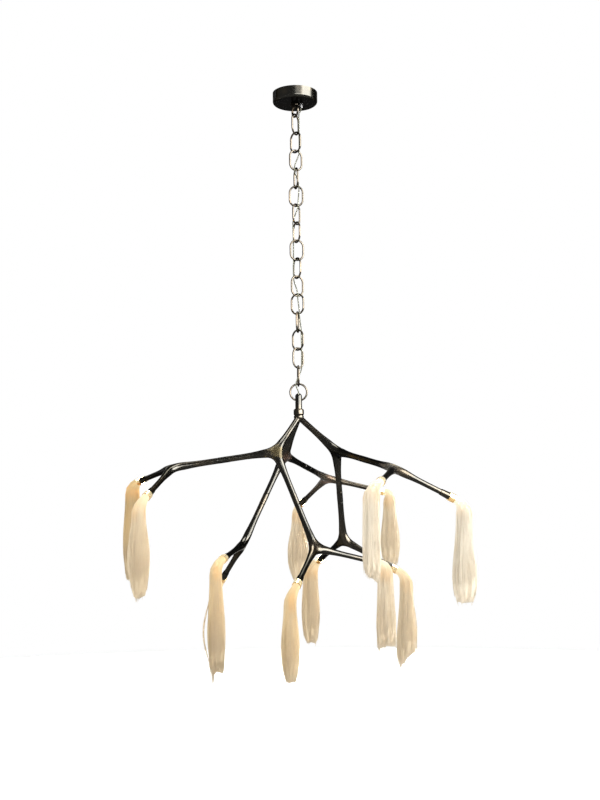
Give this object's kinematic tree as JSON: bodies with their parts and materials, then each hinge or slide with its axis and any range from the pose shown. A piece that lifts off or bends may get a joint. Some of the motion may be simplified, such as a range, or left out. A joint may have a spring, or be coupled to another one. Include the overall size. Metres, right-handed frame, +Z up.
{
  "type": "branch chandelier",
  "caption": "Hanging light of forked cast arms on a link chain from a round canopy, with a brass cup, a lamp and a falling fibre tassel at each arm's end.",
  "frame": {"origin": "centre of the mounting bar's upper face, in the plane of the ceiling", "axes": "+Z up, +X to the right and +Y away from the viewer of the picture; the light hangs below the origin"},
  "size_m": [0.9709, 1.0165, 1.6263],
  "materials": {
    "patinated_bronze": "dark polished patina",
    "chain_bronze": "dark satin patina",
    "polished_brass": "polished",
    "zinc_steel": "zinc plated",
    "white_plastic": "matt",
    "black_nylon": "matt",
    "cord_sleeve": "satin sleeve",
    "lamp_lens": "frosted, warm white",
    "ivory_fibre": "silky, ivory to champagne"
  },
  "bodies": {
    "ceiling_mount": {"canopy": "patinated_bronze", "mounting_bar": "zinc_steel", "lock_nut": "polished_brass", "hanging_loop": "patinated_bronze", "lamp_driver": "white_plastic", "terminal_block": "white_plastic", "cord_grip": "black_nylon", "supply_cord": "cord_sleeve"},
    "link_01": {"chain_link_01": "chain_bronze"},
    "link_02": {"chain_link_02": "chain_bronze"},
    "link_03": {"chain_link_03": "chain_bronze"},
    "link_04": {"chain_link_04": "chain_bronze"},
    "link_05": {"chain_link_05": "chain_bronze"},
    "link_06": {"chain_link_06": "chain_bronze"},
    "link_07": {"chain_link_07": "chain_bronze"},
    "link_08": {"chain_link_08": "chain_bronze"},
    "link_09": {"chain_link_09": "chain_bronze"},
    "link_10": {"chain_link_10": "chain_bronze"},
    "link_11": {"chain_link_11": "chain_bronze"},
    "link_12": {"chain_link_12": "chain_bronze"},
    "link_13": {"chain_link_13": "chain_bronze"},
    "link_14": {"chain_link_14": "chain_bronze"},
    "link_15": {"chain_link_15": "chain_bronze"},
    "ring": {"hanging_ring": "chain_bronze"},
    "light": {"stem": "patinated_bronze", "collar": "patinated_bronze", "crown": "patinated_bronze", "main_fork_left": "patinated_bronze", "high_fork_left": "patinated_bronze", "low_fork_left": "patinated_bronze", "main_fork_back": "patinated_bronze", "high_fork_back": "patinated_bronze", "low_fork_back": "patinated_bronze", "main_fork_right": "patinated_bronze", "high_fork_right": "patinated_bronze", "low_fork_right": "patinated_bronze", "high_coupling_left": "patinated_bronze", "low_coupling_left": "patinated_bronze", "high_coupling_back": "patinated_bronze", "low_coupling_back": "patinated_bronze", "high_coupling_right": "patinated_bronze", "low_coupling_right": "patinated_bronze", "end_sleeves": "patinated_bronze", "brass_cups": "polished_brass", "lamps": "lamp_lens", "wiring": "cord_sleeve", "tassel_01": "ivory_fibre", "tassel_02": "ivory_fibre", "tassel_03": "ivory_fibre", "tassel_04": "ivory_fibre", "tassel_05": "ivory_fibre", "tassel_06": "ivory_fibre", "tassel_07": "ivory_fibre", "tassel_08": "ivory_fibre", "tassel_09": "ivory_fibre", "tassel_10": "ivory_fibre", "tassel_11": "ivory_fibre", "tassel_12": "ivory_fibre"}
  },
  "joints": [
    {"name": "link_01_swing", "type": "hinge", "parent": "ceiling_mount", "child": "link_01", "pos_m": [0, 0, -0.065], "axis": [0.5, -0.866, 0], "range_deg": [-30, 30], "deforming": ["supply_cord"]},
    {"name": "link_02_swing", "type": "hinge", "parent": "link_01", "child": "link_02", "pos_m": [0, 0, -0.1148], "axis": [0.4695, 0.8829, 0], "range_deg": [-30, 30]},
    {"name": "link_03_swing", "type": "hinge", "parent": "link_02", "child": "link_03", "pos_m": [0, 0, -0.1651], "axis": [-0.7193, 0.6947, 0], "range_deg": [-30, 30]},
    {"name": "link_04_swing", "type": "hinge", "parent": "link_03", "child": "link_04", "pos_m": [0, 0, -0.2154], "axis": [-0.891, -0.454, 0], "range_deg": [-30, 30]},
    {"name": "link_05_swing", "type": "hinge", "parent": "link_04", "child": "link_05", "pos_m": [0, 0, -0.2657], "axis": [0.2588, -0.9659, 0], "range_deg": [-30, 30]},
    {"name": "link_06_swing", "type": "hinge", "parent": "link_05", "child": "link_06", "pos_m": [0, 0, -0.316], "axis": [1, 0, 0], "range_deg": [-30, 30]},
    {"name": "link_07_swing", "type": "hinge", "parent": "link_06", "child": "link_07", "pos_m": [0, 0, -0.3663], "axis": [-0.5, -0.866, 0], "range_deg": [-30, 30]},
    {"name": "link_08_swing", "type": "hinge", "parent": "link_07", "child": "link_08", "pos_m": [0, 0, -0.4166], "axis": [-0.4695, 0.8829, 0], "range_deg": [-30, 30]},
    {"name": "link_09_swing", "type": "hinge", "parent": "link_08", "child": "link_09", "pos_m": [0, 0, -0.4669], "axis": [0.9703, 0.2419, 0], "range_deg": [-30, 30]},
    {"name": "link_10_swing", "type": "hinge", "parent": "link_09", "child": "link_10", "pos_m": [0, 0, -0.5172], "axis": [0.515, -0.8572, 0], "range_deg": [-30, 30]},
    {"name": "link_11_swing", "type": "hinge", "parent": "link_10", "child": "link_11", "pos_m": [0, 0, -0.5675], "axis": [-0.848, -0.5299, 0], "range_deg": [-30, 30]},
    {"name": "link_12_swing", "type": "hinge", "parent": "link_11", "child": "link_12", "pos_m": [0, 0, -0.6178], "axis": [-0.8988, 0.4384, 0], "range_deg": [-30, 30]},
    {"name": "link_13_swing", "type": "hinge", "parent": "link_12", "child": "link_13", "pos_m": [0, 0, -0.6681], "axis": [0.1564, 0.9877, 0], "range_deg": [-30, 30]},
    {"name": "link_14_swing", "type": "hinge", "parent": "link_13", "child": "link_14", "pos_m": [0, 0, -0.7184], "axis": [0.7771, -0.6293, 0], "range_deg": [-30, 30]},
    {"name": "link_15_swing", "type": "hinge", "parent": "link_14", "child": "link_15", "pos_m": [0, 0, -0.7687], "axis": [-0.7431, -0.6691, 0], "range_deg": [-30, 30]},
    {"name": "ring_swing", "type": "hinge", "parent": "link_15", "child": "ring", "pos_m": [0, 0, -0.819], "axis": [-0.0698, 0.9976, 0], "range_deg": [-30, 30]},
    {"name": "light_swing", "type": "hinge", "parent": "ring", "child": "light", "pos_m": [0, 0, -0.8604], "axis": [1, 0, 0], "range_deg": [-30, 30]}
  ]
}
